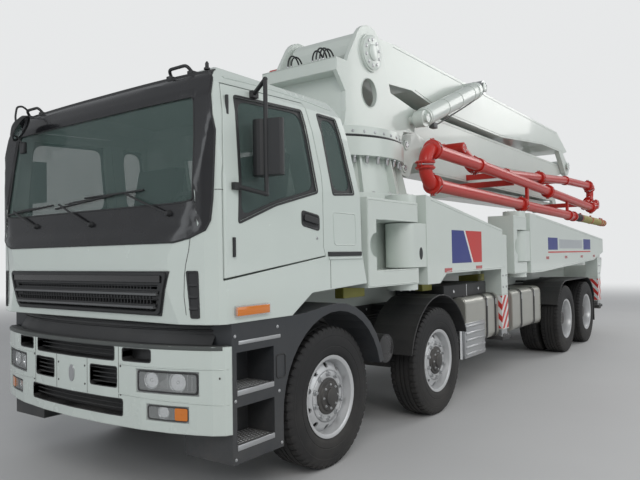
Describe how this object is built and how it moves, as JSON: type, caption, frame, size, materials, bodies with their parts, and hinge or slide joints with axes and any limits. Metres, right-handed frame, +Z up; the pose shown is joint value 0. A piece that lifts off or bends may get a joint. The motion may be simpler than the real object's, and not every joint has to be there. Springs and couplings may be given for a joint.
{
  "type": "truck-mounted concrete pump",
  "caption": "Concrete pump truck with forward cab, steered front axles, twin rear wheels, swing-out support legs, rear hopper and a folding placing boom on a slewing turret.",
  "frame": {"origin": "on the ground, at the middle of the whole machine's length and width", "axes": "+X forward, +Y to the left, +Z up"},
  "size_m": [11.9, 2.9186, 4.01],
  "materials": {
    "white_paint": "glossy white, faintly green",
    "frame_dark": "satin dark grey",
    "engine": "rough grey",
    "tank_metal": "dull silver beige",
    "black_plastic": "moulded, matte",
    "glass": "clear, faintly green",
    "trim": "matte dark grey",
    "lamp": "clear lens",
    "slate": "satin slate grey",
    "red_pipe": "glossy red",
    "olive_hose": "matte olive",
    "steel": "bare steel",
    "tyre": "rubber on silver rims"
  },
  "bodies": {
    "chassis": {"chassis_frame": "frame_dark", "engine_block": "engine", "axles": "frame_dark", "fuel_tanks": "tank_metal", "side_gear": "black_plastic", "mudguards": "black_plastic", "cab_shell": "white_paint", "cab_glass": "glass", "cab_interior": "trim", "grille": "black_plastic", "bumper": "white_paint", "lamps": "lamp", "cab_steps": "slate", "outrigger_base": "white_paint", "deck_gear": "white_paint", "pump_unit": "steel", "hopper": "white_paint", "deck_pipe": "red_pipe"},
    "door_left": {"door_left": "white_paint", "door_glass_left": "glass", "mirror_left": "black_plastic"},
    "knuckle_left_1": {"knuckle_left_1": "frame_dark"},
    "knuckle_left_2": {"knuckle_left_2": "frame_dark"},
    "wheel_left_1": {"wheel_left_1": "tyre"},
    "wheel_left_2": {"wheel_left_2": "tyre"},
    "wheel_left_3": {"wheel_left_3": "tyre"},
    "wheel_left_4": {"wheel_left_4": "tyre"},
    "front_leg_left": {"front_leg_left": "white_paint"},
    "front_slide_left": {"front_slide_left": "white_paint"},
    "rear_leg_left": {"rear_leg_left": "white_paint"},
    "front_jack_left": {"front_jack_left": "steel"},
    "rear_jack_left": {"rear_jack_left": "steel"},
    "door_right": {"door_right": "white_paint", "door_glass_right": "glass", "mirror_right": "black_plastic"},
    "knuckle_right_1": {"knuckle_right_1": "frame_dark"},
    "knuckle_right_2": {"knuckle_right_2": "frame_dark"},
    "wheel_right_1": {"wheel_right_1": "tyre"},
    "wheel_right_2": {"wheel_right_2": "tyre"},
    "wheel_right_3": {"wheel_right_3": "tyre"},
    "wheel_right_4": {"wheel_right_4": "tyre"},
    "front_leg_right": {"front_leg_right": "white_paint"},
    "front_slide_right": {"front_slide_right": "white_paint"},
    "rear_leg_right": {"rear_leg_right": "white_paint"},
    "front_jack_right": {"front_jack_right": "steel"},
    "rear_jack_right": {"rear_jack_right": "steel"},
    "hopper_grate": {"hopper_grate": "steel"},
    "turret": {"turret": "white_paint"},
    "boom_1": {"boom_1": "white_paint", "boom_1_pipe": "red_pipe"},
    "boom_2": {"boom_2": "white_paint", "boom_2_pipe": "red_pipe"},
    "boom_3": {"boom_3": "white_paint", "boom_3_pipe": "red_pipe"},
    "boom_4": {"boom_4": "white_paint", "boom_4_pipe": "red_pipe", "end_hose": "olive_hose"},
    "luff_barrels": {"luff_barrels": "white_paint"},
    "luff_rods": {"luff_rods": "steel"}
  },
  "joints": [
    {"name": "steer_left_1", "type": "hinge", "parent": "chassis", "child": "knuckle_left_1", "pos_m": [4.55, 0.865, 0.525], "axis": [0, 0, 1], "range_deg": [-38, 38]},
    {"name": "steer_right_1", "type": "hinge", "parent": "chassis", "child": "knuckle_right_1", "pos_m": [4.55, -0.865, 0.525], "axis": [0, 0, 1], "range_deg": [-38, 38]},
    {"name": "steer_left_2", "type": "hinge", "parent": "chassis", "child": "knuckle_left_2", "pos_m": [2.7, 0.865, 0.525], "axis": [0, 0, 1], "range_deg": [-30, 30]},
    {"name": "steer_right_2", "type": "hinge", "parent": "chassis", "child": "knuckle_right_2", "pos_m": [2.7, -0.865, 0.525], "axis": [0, 0, 1], "range_deg": [-30, 30]},
    {"name": "spin_left_1", "type": "hinge", "parent": "knuckle_left_1", "child": "wheel_left_1", "pos_m": [4.55, 1.045, 0.525], "axis": [0, 1, 0], "continuous": true},
    {"name": "spin_right_1", "type": "hinge", "parent": "knuckle_right_1", "child": "wheel_right_1", "pos_m": [4.55, -1.045, 0.525], "axis": [0, 1, 0], "continuous": true},
    {"name": "spin_left_2", "type": "hinge", "parent": "knuckle_left_2", "child": "wheel_left_2", "pos_m": [2.7, 1.045, 0.525], "axis": [0, 1, 0], "continuous": true},
    {"name": "spin_right_2", "type": "hinge", "parent": "knuckle_right_2", "child": "wheel_right_2", "pos_m": [2.7, -1.045, 0.525], "axis": [0, 1, 0], "continuous": true},
    {"name": "spin_left_3", "type": "hinge", "parent": "chassis", "child": "wheel_left_3", "pos_m": [-1.875, 0.925, 0.525], "axis": [0, 1, 0], "continuous": true},
    {"name": "spin_right_3", "type": "hinge", "parent": "chassis", "child": "wheel_right_3", "pos_m": [-1.875, -0.925, 0.525], "axis": [0, 1, 0], "continuous": true},
    {"name": "spin_left_4", "type": "hinge", "parent": "chassis", "child": "wheel_left_4", "pos_m": [-3.185, 0.925, 0.525], "axis": [0, 1, 0], "continuous": true},
    {"name": "spin_right_4", "type": "hinge", "parent": "chassis", "child": "wheel_right_4", "pos_m": [-3.185, -0.925, 0.525], "axis": [0, 1, 0], "continuous": true},
    {"name": "door_swing_left", "type": "hinge", "parent": "chassis", "child": "door_left", "pos_m": [5.726, 1.245, 2], "axis": [0, 0, -1], "range_deg": [0, 70]},
    {"name": "door_swing_right", "type": "hinge", "parent": "chassis", "child": "door_right", "pos_m": [5.726, -1.245, 2], "axis": [0, 0, 1], "range_deg": [0, 70]},
    {"name": "grate_lift", "type": "hinge", "parent": "chassis", "child": "hopper_grate", "pos_m": [-5.07, 0, 1.44], "axis": [0, 1, 0], "range_deg": [0, 80]},
    {"name": "turret_slew", "type": "hinge", "parent": "chassis", "child": "turret", "pos_m": [2.9, 0, 2.72], "axis": [0, 0, 1], "range_deg": [-95, 95]},
    {"name": "boom_luff", "type": "hinge", "parent": "turret", "child": "boom_1", "pos_m": [2.75, 0, 3.72], "axis": [0, 1, 0], "range_deg": [0, 88]},
    {"name": "boom_fold_2", "type": "hinge", "parent": "boom_1", "child": "boom_2", "pos_m": [-5.35, 0, 3.38], "axis": [0, 1, 0], "range_deg": [0, 180]},
    {"name": "boom_fold_3", "type": "hinge", "parent": "boom_2", "child": "boom_3", "pos_m": [1.25, 0, 2.86], "axis": [0, -1, 0], "range_deg": [0, 180]},
    {"name": "boom_fold_4", "type": "hinge", "parent": "boom_3", "child": "boom_4", "pos_m": [-5.05, 0, 2.52], "axis": [0, 1, 0], "range_deg": [0, 180]},
    {"name": "luff_barrel_tilt", "type": "hinge", "parent": "turret", "child": "luff_barrels", "pos_m": [1.85, 0, 3.15], "axis": [0, 1, 0], "range_deg": [0, 90]},
    {"name": "luff_rod_slide", "type": "slide", "parent": "luff_barrels", "child": "luff_rods", "axis": [-0.9267, 0, 0.3757], "range_m": [0, 1.5]},
    {"name": "front_leg_swing_left", "type": "hinge", "parent": "chassis", "child": "front_leg_left", "pos_m": [3.25, 1.085, 1.7], "axis": [0, 0, -1], "range_deg": [0, 100]},
    {"name": "front_slide_left", "type": "slide", "parent": "front_leg_left", "child": "front_slide_left", "axis": [-1, 0, 0], "range_m": [0, 1.5]},
    {"name": "rear_leg_swing_left", "type": "hinge", "parent": "chassis", "child": "rear_leg_left", "pos_m": [0.1, 1.085, 1.7], "axis": [0, 0, -1], "range_deg": [0, 65]},
    {"name": "front_jack_left", "type": "slide", "parent": "front_slide_left", "child": "front_jack_left", "axis": [0, 0, -1], "range_m": [0, 0.55]},
    {"name": "rear_jack_left", "type": "slide", "parent": "rear_leg_left", "child": "rear_jack_left", "axis": [0, 0, -1], "range_m": [0, 0.55]},
    {"name": "front_leg_swing_right", "type": "hinge", "parent": "chassis", "child": "front_leg_right", "pos_m": [3.25, -1.085, 1.7], "axis": [0, 0, 1], "range_deg": [0, 100]},
    {"name": "front_slide_right", "type": "slide", "parent": "front_leg_right", "child": "front_slide_right", "axis": [-1, 0, 0], "range_m": [0, 1.5]},
    {"name": "rear_leg_swing_right", "type": "hinge", "parent": "chassis", "child": "rear_leg_right", "pos_m": [0.1, -1.085, 1.7], "axis": [0, 0, 1], "range_deg": [0, 65]},
    {"name": "front_jack_right", "type": "slide", "parent": "front_slide_right", "child": "front_jack_right", "axis": [0, 0, -1], "range_m": [0, 0.55]},
    {"name": "rear_jack_right", "type": "slide", "parent": "rear_leg_right", "child": "rear_jack_right", "axis": [0, 0, -1], "range_m": [0, 0.55]}
  ],
  "couplings": [
    {"joint": "steer_right_1", "follows": "steer_left_1", "ratio": 1},
    {"joint": "steer_left_2", "follows": "steer_left_1", "ratio": 0.74},
    {"joint": "steer_right_2", "follows": "steer_left_1", "ratio": 0.74},
    {"joint": "boom_fold_2", "follows": "boom_luff", "ratio": 0.1},
    {"joint": "boom_fold_3", "follows": "boom_luff", "ratio": 0.8},
    {"joint": "boom_fold_4", "follows": "boom_luff", "ratio": 0.04},
    {"joint": "luff_barrel_tilt", "follows": "boom_luff", "ratio": 0.997},
    {"joint": "luff_rod_slide", "follows": "boom_luff", "m_per_rad": 0.97},
    {"joint": "front_slide_left", "follows": "front_leg_swing_left", "m_per_rad": 0.85},
    {"joint": "front_slide_right", "follows": "front_leg_swing_right", "m_per_rad": 0.85}
  ]
}
